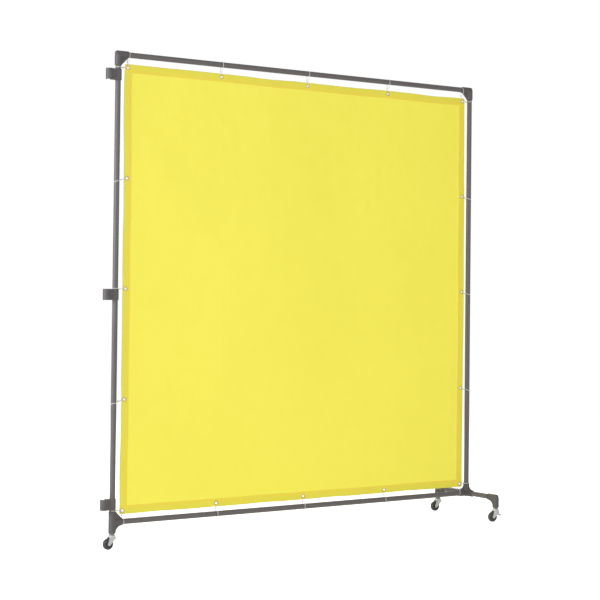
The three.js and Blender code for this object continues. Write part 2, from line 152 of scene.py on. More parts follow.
def in_scene(name, data):
    """A new object in the scene."""
    made = bpy.data.objects.new(name, data)
    bpy.context.scene.collection.objects.link(made)
    return made


def piece(name, shape, material, node=None, place=(0, 0, 0), body=None):
    """A shape, given as (vertices, faces), that stands for a CAD node and rides on its body."""
    vertices, faces = shape
    mesh = bpy.data.meshes.new(name)
    mesh.from_pydata(((vertices + place) * MM).tolist(), [], [list(f) for f in faces])
    mesh.validate()
    solid = bmesh.new()
    solid.from_mesh(mesh)
    if solid.calc_volume(signed=True) < 0:  # drawn inside out
        mesh.flip_normals()
    solid.free()
    mesh.materials.append(material)
    mesh.shade_smooth()
    mesh.set_sharp_from_angle(angle=math.radians(SMOOTH_DEGREES))
    made = in_scene(name, mesh)
    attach(made, body or BODY_OF[node])
    if node:
        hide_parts(node)
    return made


# ---- turned shapes


def rounded(outline, radius, steps=4):
    """An outline whose corners, but for those on the axis, are rounded by arcs of at most that radius."""
    points = [np.array(p, float) for p in outline]
    count = len(points)
    result = []
    for i, corner in enumerate(points):
        if corner[0] == 0:
            result.append(corner)
            continue
        back = points[i - 1] - corner
        ahead = points[(i + 1) % count] - corner
        reach = min(np.linalg.norm(back), np.linalg.norm(ahead)) / 2
        back /= np.linalg.norm(back)
        ahead /= np.linalg.norm(ahead)
        half_angle = math.acos(np.clip(back @ ahead, -1, 1)) / 2
        set_back = min(radius / math.tan(half_angle), reach) if half_angle > 0.02 else reach
        for k in range(steps + 1):
            t = k / steps
            start, end = corner + back * set_back, corner + ahead * set_back
            result.append((1 - t) ** 2 * start + 2 * t * (1 - t) * corner + t * t * end)
    return result


def lathe(outline, sides, axis):
    """A solid turned about an axis from the (radius, height) points of its half section."""
    vertices, rings = [], []
    for radius, height in outline:
        if radius < 1e-6:
            rings.append([len(vertices)])
            vertices.append((0.0, 0.0, height))
            continue
        rings.append(list(range(len(vertices), len(vertices) + sides)))
        for k in range(sides):
            angle = 2 * math.pi * k / sides
            vertices.append((radius * math.cos(angle), radius * math.sin(angle), height))
    faces = []
    for low, high in zip(rings, rings[1:] + rings[:1]):
        for k in range(sides):
            n = (k + 1) % sides
            corners = [low[k % len(low)], low[n % len(low)], high[n % len(high)], high[k % len(high)]]
            face = list(dict.fromkeys(corners))
            if len(face) > 2:
                faces.append(face)
    columns = {"x": [2, 0, 1], "y": [1, 2, 0], "z": [0, 1, 2]}[axis]
    return np.array(vertices)[:, columns], faces


# ---- moulded shapes
# A shape is a function of points that is negative inside. These keep true distances near the surface.


def join(a, b, fillet=0.0):
    """Both solids, with a fillet where they meet."""
    if fillet == 0:
        return np.minimum(a, b)
    blend = np.hypot(np.maximum(fillet - a, 0), np.maximum(fillet - b, 0))
    return np.maximum(fillet, np.minimum(a, b)) - blend


def overlap(a, b, edge=0.0):
    """What two solids share, with the new edge rounded."""
    if edge == 0:
        return np.maximum(a, b)
    blend = np.hypot(np.maximum(edge + a, 0), np.maximum(edge + b, 0))
    return np.minimum(-edge, np.maximum(a, b)) + blend


def cut(a, b, edge=0.0):
    return overlap(a, -b, edge)


def rod(p, axis, radius, low, high, edge=0.0):
    side = np.hypot(*np.delete(p, axis, 1).T) - radius
    ends = np.abs(p[:, axis] - (low + high) / 2) - (high - low) / 2
    return overlap(side, ends, edge)


def block(p, low, high, edge=0.0):
    low, high = np.array(low, float), np.array(high, float)
    q = np.abs(p - (low + high) / 2) - ((high - low) / 2 - edge)
    return np.linalg.norm(np.maximum(q, 0), axis=1) + np.minimum(q.max(1), 0) - edge


def polygon(x, z, corners):
    """Signed distance to a convex outline whose corners run anticlockwise."""
    distance = np.full(len(x), -1e9)
    for (x0, z0), (x1, z1) in zip(corners, corners[1:] + corners[:1]):
        length = math.hypot(x1 - x0, z1 - z0)
        normal_x, normal_z = (z1 - z0) / length, -(x1 - x0) / length
        distance = np.maximum(distance, (x - x0) * normal_x + (z - z0) * normal_z)
    return distance


def part_of(spans):
    """The slices of a 3-D array, whole along each axis that isn't named."""
    return tuple(slice(*spans[axis]) if axis in spans else slice(None) for axis in range(3))


def surface(field, low, high, cell):
    """A closed quad mesh on the zero level of a field, by surface nets settled onto the field."""
    low, high = np.array(low, float) - 1.5 * cell, np.array(high, float) + 1.5 * cell
    counts = np.ceil((high - low) / cell).astype(int) + 1
    grid = low + cell * np.stack(np.meshgrid(*map(np.arange, counts), indexing="ij"), -1)
    value = field(grid.reshape(-1, 3)).reshape(counts)
    total = np.zeros((*(counts - 1), 3))
    hits = np.zeros(counts - 1)
    crossings = []
    for axis in range(3):
        u, v = [k for k in range(3) if k != axis]
        near = part_of({axis: (0, -1)})
        a, b = value[near], value[part_of({axis: (1, None)})]
        crossed = (a < 0) != (b < 0)
        share = np.where(crossed, a / np.where(crossed, a - b, 1), 0)
        point = grid[near].copy()
        point[..., axis] += share * cell
        point[~crossed] = 0
        for du, dv in ((0, 0), (0, 1), (1, 0), (1, 1)):
            part = part_of({u: (du, du + counts[u] - 1), v: (dv, dv + counts[v] - 1)})
            total += point[part]
            hits += crossed[part]
        crossings.append((axis, u, v, crossed, a))
    active = hits > 0
    ids = np.full(active.shape, -1)
    ids[active] = np.arange(active.sum())
    vertices = total[active] / hits[active][:, None]
    faces = []
    for axis, u, v, crossed, a in crossings:
        inner = part_of({u: (1, -1), v: (1, -1)})
        mask = crossed[inner]
        around = []
        for du, dv in ((0, 0), (1, 0), (1, 1), (0, 1)):
            part = part_of({u: (du, du + counts[u] - 2), v: (dv, dv + counts[v] - 2)})
            around.append(ids[part][mask])
        quads = np.stack(around, 1)
        leaves = (a[inner][mask] < 0) != (axis == 1)
        quads[~leaves] = quads[~leaves][:, ::-1]
        faces.append(quads)
    return settled(field, vertices, cell), np.concatenate(faces)


def settled(field, vertices, cell, rounds=4, probe=0.02):
    """Moves points along the field's slope until they lie on its zero level."""
    v = vertices.copy()
    for _ in range(rounds):
        f = field(v)
        slope = np.stack([field(v + probe * e) - field(v - probe * e) for e in np.eye(3)], 1) / (2 * probe)
        step = -f[:, None] * slope / np.maximum((slope ** 2).sum(1), 0.25)[:, None]
        length = np.linalg.norm(step, axis=1)
        step *= np.minimum(1, 0.5 * cell / np.maximum(length, 1e-9))[:, None]
        v += step
    return v


# ---- materials


def srgb(red, green, blue):
    """A colour given as screen values 0 to 255, as linear RGBA."""
    values = [v / 255 for v in (red, green, blue)]
    return (*[v / 12.92 if v <= 0.04045 else ((v + 0.055) / 1.055) ** 2.4 for v in values], 1.0)


class Finish:
    """A material made of nodes round one Principled shader. Its colours are screen values."""

    def __init__(self, name, **inputs):
        self.material = bpy.data.materials.new(name)
        self.material.use_nodes = True
        self.tree = self.material.node_tree
        self.shader = self.tree.nodes["Principled BSDF"]
        self.where = self.add("TexCoord")["Object"]
        for key, value in inputs.items():
            self.feed(key, value)

    def add(self, kind, inputs=None, **settings):
        """The outputs of a new node."""
        node = self.tree.nodes.new("ShaderNode" + kind)
        for key, value in settings.items():
            setattr(node, key, value)
        for key, value in (inputs or {}).items():
            self.put(node.inputs[key], value)
        return node.outputs

    def put(self, socket, value):
        if isinstance(value, bpy.types.NodeSocket):
            self.tree.links.new(value, socket)
        else:
            socket.default_value = value

    def feed(self, key, value):
        self.put(self.shader.inputs[key.replace("_", " ")], value)

    def noise(self, scale, detail=3.0, rough=0.5, stretch=None, twist=0.0):
        vector = self.where
        if stretch:
            vector = self.add("Mapping", {"Vector": vector, "Scale": stretch})[0]
        inputs = {"Scale": scale, "Detail": detail, "Roughness": rough, "Distortion": twist}
        return self.add("TexNoise", inputs | {"Vector": vector})[0]

    def span(self, value, low, high, to_low=0.0, to_high=1.0, smooth=False):
        inputs = {"Value": value, "From Min": low, "From Max": high, "To Min": to_low, "To Max": to_high}
        kind = "SMOOTHSTEP" if smooth else "LINEAR"
        return self.add("MapRange", inputs, interpolation_type=kind)[0]

    def middling(self, noise, to_low, to_high):
        """The middle of a noise, spread over a range."""
        return self.span(noise, 0.3, 0.7, to_low, to_high)

    def maths(self, operation, a, b):
        return self.add("Math", {0: a, 1: b}, operation=operation)[0]

    def mix(self, share, a, b):
        a, b = [srgb(*colour) if isinstance(colour, tuple) else colour for colour in (a, b)]
        return self.add("Mix", {0: share, 6: a, 7: b}, data_type="RGBA")[2]

    def over(self, base, colour, mask, share):
        """A colour laid over the base where the mask is 1."""
        return self.mix(self.maths("MULTIPLY", mask, share), base, colour)

    def bump(self, height, depth_mm, strength=1.0, under=None):
        inputs = {"Height": height, "Distance": depth_mm * MM, "Strength": strength}
        if under is not None:
            inputs["Normal"] = under
        return self.add("Bump", inputs)[0]

    def worn(self, low, high):
        """From 0 to 1 over a range of how far a place stands out. Flats are at 0.5, outer edges above."""
        edge = self.add("NewGeometry")["Pointiness"]
        return self.span(edge, low, high, smooth=True)

    def done(self, base, roughness, normal):
        self.feed("Base Color", base)
        self.feed("Roughness", roughness)
        self.feed("Normal", normal)
        return self.material


def pipe_coating(axis):
    """Dark grey plastic coat: orange peel, faint draw lines along the pipe, small pale scuffs and dust."""
    finish = Finish("pipe_coating_along_" + axis, Specular_IOR_Level=0.3)
    along = {"x": (0.03, 1, 1), "y": (1, 0.03, 1), "z": (1, 1, 0.03)}[axis]
    partly_along = tuple(0.25 if s < 1 else 1 for s in along)
    cloud = finish.noise(9, 4, 0.6)
    draw = finish.noise(420, 2, 0.5, stretch=along)
    scuff = finish.span(finish.noise(70, 5, 0.65, stretch=partly_along), 0.66, 0.74)
    base = finish.mix(cloud, (88, 84, 84), (99, 95, 95))
    base = finish.mix(finish.middling(draw, 0, 0.25), base, (112, 108, 108))
    base = finish.over(base, (140, 137, 134), scuff, 0.35)
    peel = finish.bump(finish.noise(520, 2), 0.05, 0.4)
    return finish.done(base, finish.middling(draw, 0.34, 0.46), finish.bump(draw, 0.03, 0.3, peel))


def joint_plastic(name="joint_plastic", tone=0):
    """Dark grey moulded plastic with a fine spark grain, mottled, with paler rubbed edges."""
    finish = Finish(name, Specular_IOR_Level=0.35)
    cloud = finish.noise(24, 4, 0.65)
    fleck = finish.span(finish.noise(160, 5, 0.7), 0.58, 0.75)
    base = finish.mix(cloud, (72 + tone, 69 + tone, 70 + tone), (92 + tone, 88 + tone, 88 + tone))
    base = finish.over(base, (118, 114, 113), fleck, 0.4)
    base = finish.over(base, (140, 136, 134), finish.worn(0.53, 0.6), 0.5)
    coarse = finish.bump(finish.noise(300, 3), 0.08, 0.35)
    grain = finish.bump(finish.noise(1500, 3, 0.6), 0.05, 0.6, coarse)
    return finish.done(base, finish.middling(cloud, 0.44, 0.58), grain)


def zinc_plate():
    """Zinc plate: pale grey with soft clouds, fine brushing and dull spots."""
    finish = Finish("zinc_plate", Metallic=0.75)
    brush = finish.noise(900, 2, 0.5, stretch=(1, 1, 0.15))
    dull = finish.span(finish.noise(240, 5, 0.7), 0.56, 0.72)
    base = finish.mix(finish.noise(60, 4, 0.6), (176, 178, 180), (204, 204, 202))
    base = finish.over(base, (142, 141, 137), dull, 0.4)
    return finish.done(base, finish.middling(brush, 0.28, 0.44), finish.bump(brush, 0.03, 0.35))


def eyelet_metal():
    """Plated brass gone dull, and still pale in its hollows."""
    finish = Finish("eyelet_metal", Metallic=0.4)
    cloud = finish.noise(400, 4, 0.6)
    base = finish.mix(cloud, (190, 174, 100), (210, 193, 118))
    base = finish.over(base, (226, 216, 164), finish.worn(0.5, 0.42), 0.5)
    grain = finish.bump(finish.noise(1600, 2), 0.02, 0.5)
    return finish.done(base, finish.middling(cloud, 0.3, 0.42), grain)


def tie_nylon():
    """Natural nylon: milky, slightly uneven, with a soft sheen."""
    finish = Finish("tie_nylon", Subsurface_Weight=0.15, Subsurface_Scale=0.002)
    cloud = finish.noise(150, 3, 0.6)
    base = finish.mix(cloud, (204, 202, 198), (220, 219, 215))
    grain = finish.bump(finish.noise(2200, 2), 0.02, 0.5)
    return finish.done(base, finish.middling(cloud, 0.36, 0.5), grain)


def tyre_rubber():
    """Dark rubber with floor dust on its tread and a fine moulded grain."""
    finish = Finish("tyre_rubber")
    dust = finish.span(finish.noise(180, 5, 0.7), 0.45, 0.75)
    base = finish.mix(finish.noise(40), (54, 53, 55), (68, 67, 68))
    base = finish.over(base, (120, 116, 110), dust, 0.35)
    grain = finish.bump(finish.noise(1300, 4), 0.08, 0.6)
    return finish.done(base, finish.span(dust, 0, 1, 0.6, 0.85), grain)


def hub_plastic():
    """Dark grey moulded plastic with faint flow marks."""
    finish = Finish("hub_plastic")
    flow = finish.noise(90, 3, 0.5, twist=1.5)
    base = finish.mix(flow, (66, 66, 68), (82, 82, 84))
    grain = finish.bump(finish.noise(1700, 3), 0.03, 0.5)
    return finish.done(base, finish.middling(flow, 0.4, 0.55), grain)


def sheet_vinyl():
    """Tinted soft vinyl: deeper where the hem is double, with a weld, calender lines, slow clouds and a painted
    shade line along its outer edge.
    """
    finish = Finish("sheet_vinyl", Specular_IOR_Level=0.4)
    place = finish.add("UVMap", uv_map="sheet")[0]
    split = finish.add("SeparateXYZ", {0: place})
    edges = []
    for axis, length in ((0, SHEET_WIDTH), (1, SHEET_HEIGHT)):
        other = finish.maths("SUBTRACT", length, split[axis])
        edges.append(finish.maths("MINIMUM", split[axis], other))
    edge = finish.maths("MINIMUM", *edges)
    hem = finish.span(edge, HEM - 0.6, HEM + 0.6, 1, 0)
    corner = finish.span(finish.maths("MAXIMUM", *edges), HEM - 0.6, HEM + 0.6, 1, 0)
    seam = finish.maths("MULTIPLY", hem, finish.span(edge, HEM - 15, HEM - 11, 0, 1, smooth=True))
    # rim: painted shade, a greyer line over the last few millimetres of the sheet's folded outer edge
    rim = finish.span(edge, 0.8, 3.0, 1, 0, smooth=True)
    fine = finish.noise(14, 4, 0.6)
    body = finish.mix(finish.noise(1.6, 3, 0.5), (243, 232, 79), (248, 238, 86))
    body = finish.mix(finish.middling(fine, 0, 0.25), body, (240, 228, 70))
    double = finish.mix(fine, (224, 213, 64), (231, 219, 68))
    base = finish.mix(hem, body, double)
    base = finish.over(base, (236, 212, 66), seam, 0.8)
    base = finish.over(base, (232, 214, 48), corner, 0.5)
    # Painted shade: the grey line along the sheet's folded outer edge.
    base = finish.over(base, (200, 194, 100), rim, 0.6)
    weld = finish.add("TexWave", {"Vector": place, "Scale": 0.16, "Distortion": 0.0},
                      wave_type="BANDS", bands_direction="DIAGONAL")[0]
    calender = finish.bump(finish.noise(260, 2, 0.5, stretch=(0.02, 1, 1)), 0.03, 0.25)
    ripple = finish.bump(finish.noise(12, 2), 0.25, 0.12, calender)
    grain = finish.bump(finish.maths("MULTIPLY", weld, seam), 0.12, 0.7, ripple)
    return finish.done(base, finish.middling(fine, 0.42, 0.56), grain)


# ---- pipes


def tube(node, axis, material):
    """A coated pipe with rounded lips at its open ends."""
    low, high = box_mm(node)
    k = "xyz".index(axis)
    length = high[k] - low[k]
    inner = PIPE_RADIUS - PIPE_WALL
    outline = rounded([(inner, 0), (PIPE_RADIUS, 0), (PIPE_RADIUS, length), (inner, length)], PIPE_LIP)
    start = (low + high) / 2
    start[k] = low[k]
    piece(node + "_tube", lathe(outline, PIPE_SIDES, axis), material, node, start)


# ---- moulded joints


def arc_through(*points):
    """Centre and radius of the circle through three points."""
    first, middle, last = np.array(points)
    rows = 2 * np.array([middle - first, last - first])
    centre = np.linalg.solve(rows, [middle @ middle - first @ first, last @ last - first @ first])
    return *centre, np.linalg.norm(first - centre)


def moulded_joint(node, centre, arms, webs, material, elbow=False, pad=False, mouth=MOUTH_EDGE):
    """Sockets round one centre with webs between them. An arm is (axis, sign, what it takes)."""
    low, high = box_mm(node)
    centre = np.array(centre, float)
    radius = PIPE_RADIUS + SOCKET_WALL
    reach = []
    for axis, sign, _ in arms:
        reach.append(high[axis] - centre[axis] if sign > 0 else centre[axis] - low[axis])

    used = sorted({arm[0] for arm in arms})
    unused = [axis for axis in range(3) if axis not in used]

    def web(p, level, upright, hollow):
        s = p[:, arms[level][0]] * arms[level][1]
        t = p[:, arms[upright][0]] * arms[upright][1]
        third = 3 - arms[level][0] - arms[upright][0]
        skin = radius - WEB_SKIN
        first = (reach[level] - WEB_SKIN, skin)
        last = (skin, reach[upright] - WEB_SKIN)
        if hollow is None:
            normal = np.array([last[1] - first[1], first[0] - last[0]])
            normal /= np.linalg.norm(normal)
            edge = (s - first[0]) * normal[0] + (t - first[1]) * normal[1]
        else:
            bend = skin + hollow
            middle = [(f + 2 * bend + g) / 4 for f, g in zip(first, last)]
            x, y, r = arc_through(first, middle, last)
            edge = r - np.hypot(s - x, t - y)
        edge = np.maximum.reduce([edge, -s, -t, s - reach[level] + 0.5, t - reach[upright] + 0.5])
        return overlap(edge, np.abs(p[:, third]) - WEB_THICKNESS / 2, WEB_EDGE)

    def field(p):
        solid = None
        for axis in used:
            ends = [0, 0] + [arm[1] * length for arm, length in zip(arms, reach) if arm[0] == axis]
            arm = rod(p, axis, radius, min(ends), max(ends), MOUTH_EDGE if axis == 2 else mouth)
            solid = arm if solid is None else join(solid, arm, ARM_FILLET)
        if elbow:
            a, b = [np.hypot(*np.delete(p, axis, 1).T) - radius for axis in used]
            solid = join(solid, overlap(a, b, ELBOW_CORNER))
        if pad:
            foot = block(p, (-CROSS_PAD, -CROSS_PAD, -radius), (CROSS_PAD, CROSS_PAD, CROSS_PAD_TOP), 1.5)
            solid = join(solid, foot, 2.0)
        for level, upright, hollow in webs:
            solid = join(solid, web(p, level, upright, hollow), WEB_FILLET)
        for axis in unused:
            solid = overlap(solid, np.abs(p[:, axis]) - radius)
        for (axis, sign, takes), length in zip(arms, reach):
            bore, start = (PIPE_RADIUS + SOCKET_GAP, SOCKET_BOTTOM)
            if takes == "stem":
                bore, start = (STEM_HOLE_RADIUS, STEM_HOLE_BOTTOM)
            ends = (start, length + 9) if sign > 0 else (-length - 9, -start)
            solid = cut(solid, rod(p, axis, bore, *ends), 0.9)
        return solid

    shape = surface(field, low - centre, high - centre, JOINT_CELL)
    piece(node + "_moulding", shape, material, node, centre)


# ---- clips


def clip_shape():
    """A closed ring, a bridge and a ring that opens behind the screen, all one height."""
    low, high = box_mm("top_clip")
    half = (high[2] - low[2]) / 2
    bore = PIPE_RADIUS + SOCKET_GAP

    def field(p):
        x, y = p[:, 0], p[:, 1]
        flat = join(np.hypot(x, y) - CLIP_RADIUS, np.hypot(x + CLIP_SPACING, y) - CLIP_RADIUS)
        bridge = overlap(np.abs(y) - CLIP_BRIDGE, np.abs(x + CLIP_SPACING / 2) - CLIP_SPACING / 2)
        flat = join(flat, bridge, 3.0)
        flat = cut(flat, overlap(np.abs(x + CLIP_SPACING) - CLIP_MOUTH, -y), 1.0)
        flat = cut(flat, np.hypot(x + CLIP_SPACING, y) - bore, 0.7)
        flat = cut(flat, np.hypot(x, y) - bore, 0.0)
        solid = overlap(flat, np.abs(p[:, 2]) - half, CLIP_EDGE)
        window = np.abs(p[:, 2]) - half + 7
        outline = overlap(np.abs(x + CLIP_SPACING / 2) - 6.5, window, 1.5)
        recess = overlap(outline, CLIP_BRIDGE - 2.2 - np.abs(y))
        return cut(solid, recess, 0.8)

    size = CLIP_RADIUS
    return surface(field, (-CLIP_SPACING - size, -size, -half), (size, size, half), CLIP_CELL)


# ---- sheet and eyelets


EYELET_X, _, EYELET_Z = np.linspace(SHEET_LOW + EYELET_INSET, SHEET_HIGH - EYELET_INSET, EYELETS_PER_SIDE).T


def eyelet_names():
    """Each eyelet's name with its column and row."""
    last = EYELETS_PER_SIDE - 1
    for i in range(EYELETS_PER_SIDE):
        for k in range(EYELETS_PER_SIDE):
            if i in (0, last) or k in (0, last):
                yield f"eyelet_column_{i + 1}_row_{k + 1}", i, k


def eyelet_place(column, row):
    """Where an eyelet is once the sheet is drawn."""
    x, z = EYELET_X[column], EYELET_Z[row]
    move_x, move_z = drawn(x, z)
    return np.array([x + move_x, PLANE_Y, z + move_z])


EDGE_REACH = 90.0  # over which an edge's bends die out


def bell(value, middle, spread):
    return np.exp(-((value - middle) / spread) ** 2)


def shares(x, z):
    """How far a point is across the sheet and up it, from 0 to 1."""
    return (x - SHEET_LOW[0]) / SHEET_WIDTH, (z - SHEET_LOW[2]) / SHEET_HEIGHT


def drawn(x, z):
    """How far a point of the sheet is drawn along X and Z. Its edges run in slow bends and dips."""
    u, v = shares(x, z)
    left = (2.2 * bell(v, 0.3, 0.12) + 1.2 * bell(v, 0.41, 0.06) + 2.0 * bell(v, 0.67, 0.04)
            - 6.0 * bell(v, 0.89, 0.1) - 1.8 * bell(v, 0.96, 0.03) - 3.2 * bell(v, 0.09, 0.06))
    right = (1.2 * bell(v, 0.6, 0.25) + 2.4 * bell(v, 0.54, 0.06) - 2.6 * bell(v, 0.34, 0.07)
             + 2.6 * bell(v, 0.14, 0.1) - 2.8 * bell(v, 0.97, 0.1))
    top = (3.0 * bell(u, 0.12, 0.28) - 3.5 * bell(u, 0.39, 0.05) + 1.2 * bell(u, 0.72, 0.05)
           - bell(u, 0.62, 0.07) - 3.5 * bell(u, 0.89, 0.05))
    bottom = 2.2 * sum(bell(u, middle, 0.05) for middle in (0.1, 0.39, 0.58, 0.82))
    fade = [np.exp(-np.maximum(d, 0) / EDGE_REACH)
            for d in (x - SHEET_LOW[0], SHEET_HIGH[0] - x, SHEET_HIGH[2] - z, z - SHEET_LOW[2])]
    return left * fade[0] + right * fade[1], top * fade[2] + bottom * fade[3]


def waved(x, z):
    """A slow wave that dies out towards the sheet's edges."""
    u, v = shares(x, z)
    free = np.sqrt(np.clip(16 * u * (1 - u) * v * (1 - v), 0, 1))
    slow = 3.0 * np.sin(2 * np.pi * (1.1 * u + 0.25 * v) + 0.6)
    quick = 1.8 * np.sin(2 * np.pi * (2.3 * u - 0.4 * v))
    return free * (slow + quick)


HUNG_CELLS = 14  # between two eyelets
HUNG_FRAMES = 40
HUNG_CLOTH = {"quality": 8, "mass": 0.02, "tension_stiffness": 60, "compression_stiffness": 60,
              "shear_stiffness": 20, "bending_stiffness": 4, "shrink_min": -0.0012}
HUNG_OFF_PLANE = 6.0
HUNG_IN_PLANE = 1.0


def hung_lines(eyelets, low, high):
    spans = [np.linspace(a, b, HUNG_CELLS, endpoint=False) for a, b in zip(eyelets, eyelets[1:])]
    return np.concatenate([[low], *spans, [eyelets[-1], high]])


HUNG_X = hung_lines(EYELET_X, SHEET_LOW[0], SHEET_HIGH[0])
HUNG_Z = hung_lines(EYELET_Z, SHEET_LOW[2], SHEET_HIGH[2])


def hung():
    """Where a cloth simulation leaves the sheet in its eyelets, as offsets on the lines above."""
    x, z = np.meshgrid(HUNG_X, HUNG_Z, indexing="ij")
    flat = np.stack([x, 0 * x, z], -1)
    start = np.stack([x, waved(x, z), z], -1)
    columns, rows = x.shape
    ids = np.arange(columns * rows).reshape(columns, rows)
    quads = np.stack([ids[:-1, :-1], ids[1:, :-1], ids[1:, 1:], ids[:-1, 1:]], -1).reshape(-1, 4)
    mesh = bpy.data.meshes.new("hung")
    mesh.from_pydata((start.reshape(-1, 3) * MM).tolist(), [], quads.tolist())
    cloth = in_scene("hung", mesh)
    held = cloth.vertex_groups.new(name="eyelets")
    at = [1 + k * HUNG_CELLS for k in range(EYELETS_PER_SIDE)]
    held.add([int(ids[at[i], at[k]]) for _, i, k in eyelet_names()], 1.0, "REPLACE")
    modifier = cloth.modifiers.new("cloth", "CLOTH")
    for key, value in HUNG_CLOTH.items():
        setattr(modifier.settings, key, value)
    modifier.settings.vertex_group_mass = held.name
    modifier.collision_settings.use_collision = False
    modifier.point_cache.frame_start, modifier.point_cache.frame_end = 1, HUNG_FRAMES
    for number in range(1, HUNG_FRAMES + 1):
        bpy.context.scene.frame_set(number)
    settled_cloth = cloth.evaluated_get(bpy.context.evaluated_depsgraph_get())
    places = np.zeros(flat.size)
    settled_cloth.data.vertices.foreach_get("co", places)
    moved = places.reshape(flat.shape) / MM - flat
    bpy.data.objects.remove(cloth)
    bpy.context.scene.frame_set(1)
    for axis, most in ((0, HUNG_IN_PLANE), (1, HUNG_OFF_PLANE), (2, HUNG_IN_PLANE)):
        moved[..., axis] *= min(1, most / max(np.abs(moved[..., axis]).max(), 1e-6))
    return moved


HUNG = hung()


def cubic(t):
    """The weights of four even places round a point a share t past the second."""
    return [(-t + 2 * t ** 2 - t ** 3) / 2, (2 - 5 * t ** 2 + 3 * t ** 3) / 2,
            (t + 4 * t ** 2 - 3 * t ** 3) / 2, (t ** 3 - t ** 2) / 2]


def hung_at(x, z):
    """The simulated offset at any point of the sheet."""
    x, z = np.asarray(x, float), np.asarray(z, float)
    places = [np.interp(x, HUNG_X, range(len(HUNG_X))), np.interp(z, HUNG_Z, range(len(HUNG_Z)))]
    first = [np.floor(place).astype(int) for place in places]
    weights = [cubic(place - whole) for place, whole in zip(places, first)]
    total = np.zeros((*x.shape, 3))
    for a in range(4):
        i = np.clip(first[0] + a - 1, 0, len(HUNG_X) - 1)
        for b in range(4):
            k = np.clip(first[1] + b - 1, 0, len(HUNG_Z) - 1)
            total += (weights[0][a] * weights[1][b])[..., None] * HUNG[i, k]
    return total


def grid_lines(length, eyelets):
    """Places of the grid's lines across the sheet: close at edges, seam and eyelets, wide between them."""
    keys = {0.0, 0.5, 1.4, HEM - HEM_STEP, HEM + HEM_STEP}
    keys |= {length - key for key in keys}
    for place in eyelets:
        keys |= {place - HOLE_GRID, place + HOLE_GRID}
    keys = sorted(keys)
    lines = [0.0]
    for start, end in zip(keys, keys[1:]):
        middle = (start + end) / 2
        pitch = 16.0
        if min(middle, length - middle) < HEM:
            pitch = 5.0
        if np.abs(np.array(eyelets) - middle).min() < HOLE_GRID:
            pitch = 2.7
        steps = max(1, round((end - start) / pitch))
        lines.extend(start + (end - start) * (k + 1) / steps for k in range(steps))
    return np.array(lines)


def punched(us, vs):
    """The grid's points with round holes under the eyelets, its cells that stay, and each point's cells."""
    u, v = np.meshgrid(us, vs, indexing="ij")
    holes = [(EYELET_X[i] - SHEET_LOW[0], EYELET_Z[k] - SHEET_LOW[2]) for _, i, k in eyelet_names()]
    cell_u = (us[1:] + us[:-1])[:, None] / 2
    cell_v = (vs[1:] + vs[:-1])[None, :] / 2
    kept = np.ones((len(us) - 1, len(vs) - 1), bool)
    for hole_u, hole_v in holes:
        kept &= np.hypot(cell_u - hole_u, cell_v - hole_v) > HOLE_IN_SHEET
    padded = np.pad(kept, 1).astype(int)
    cells = padded[1:, 1:] + padded[:-1, 1:] + padded[1:, :-1] + padded[:-1, :-1]
    for hole_u, hole_v in holes:
        distance = np.hypot(u - hole_u, v - hole_v)
        rim = (distance < HOLE_GRID + 1.5) & (cells > 0) & (cells < 4)
        share = np.where(rim, HOLE_IN_SHEET / np.maximum(distance, 1e-6), 1)
        u, v = hole_u + (u - hole_u) * share, hole_v + (v - hole_v) * share
    return u, v, kept, cells


def corners_rounded(u, v):
    """The grid with its four square corners pressed into quarter circles."""
    radius = SHEET_CORNER
    mid_u, mid_v = SHEET_WIDTH / 2, SHEET_HEIGHT / 2
    off_u, off_v = np.abs(u - mid_u) - (mid_u - radius), np.abs(v - mid_v) - (mid_v - radius)
    corner = (off_u > 0) & (off_v > 0)
    a, b = np.clip(off_u / radius, 0, 1), np.clip(off_v / radius, 0, 1)
    round_u = (mid_u - radius + radius * a * np.sqrt(1 - b * b / 2)) * np.sign(u - mid_u) + mid_u
    round_v = (mid_v - radius + radius * b * np.sqrt(1 - a * a / 2)) * np.sign(v - mid_v) + mid_v
    return np.where(corner, round_u, u), np.where(corner, round_v, v)


def rim_walls(quads, count):
    """Quads from each free edge of the front to the same edge of the back, count points later."""
    edges = np.stack([quads, np.roll(quads, -1, 1)], -1).reshape(-1, 2)
    keys = edges.min(1) * count + edges.max(1)
    _, index, uses = np.unique(keys, return_index=True, return_counts=True)
    start, end = edges[index[uses == 1]].T
    return np.stack([end, start, start + count, end + count], 1)


def sheet(material):
    """One continuous sheet with a double hem and a hole under each eyelet."""
    us = grid_lines(SHEET_WIDTH, EYELET_X - SHEET_LOW[0])
    vs = grid_lines(SHEET_HEIGHT, EYELET_Z - SHEET_LOW[2])
    edge = np.minimum(np.minimum(us, SHEET_WIDTH - us)[:, None], np.minimum(vs, SHEET_HEIGHT - vs)[None, :])
    half = np.interp(edge, [0, 0.5, 1.4, HEM - HEM_STEP, HEM + HEM_STEP],
                     [0.2, 0.5, HEM_HALF, HEM_HALF, FIELD_HALF])
    u, v, kept, cells = punched(us, vs)
    u, v = corners_rounded(u, v)
    x, z = u + SHEET_LOW[0], v + SHEET_LOW[2]
    move_x, move_z = drawn(x, z)
    used = cells > 0
    count = int(used.sum())
    ids = np.full(used.shape, -1)
    ids[used] = np.arange(count)
    flat = np.stack([x + move_x, PLANE_Y - half, z + move_z], -1)
    front = flat + hung_at(x, z)
    back = front + np.stack([0 * half, 2 * half, 0 * half], -1)
    i, k = np.nonzero(kept)
    quads = np.stack([ids[i, k], ids[i + 1, k], ids[i + 1, k + 1], ids[i, k + 1]], 1)
    faces = np.concatenate([quads, quads[:, ::-1] + count, rim_walls(quads, count)])
    vertices = np.concatenate([front[used], back[used]])
    made = piece("sheet_vinyl_cloth", (vertices, faces), material, "curtain_sheet")
    places = np.tile(np.stack([u[used], v[used]], 1), (2, 1))
    layer = made.data.uv_layers.new(name="sheet")
    corners = np.zeros(len(made.data.loops), int)
    made.data.loops.foreach_get("vertex_index", corners)
    layer.data.foreach_set("uv", places[corners].ravel())


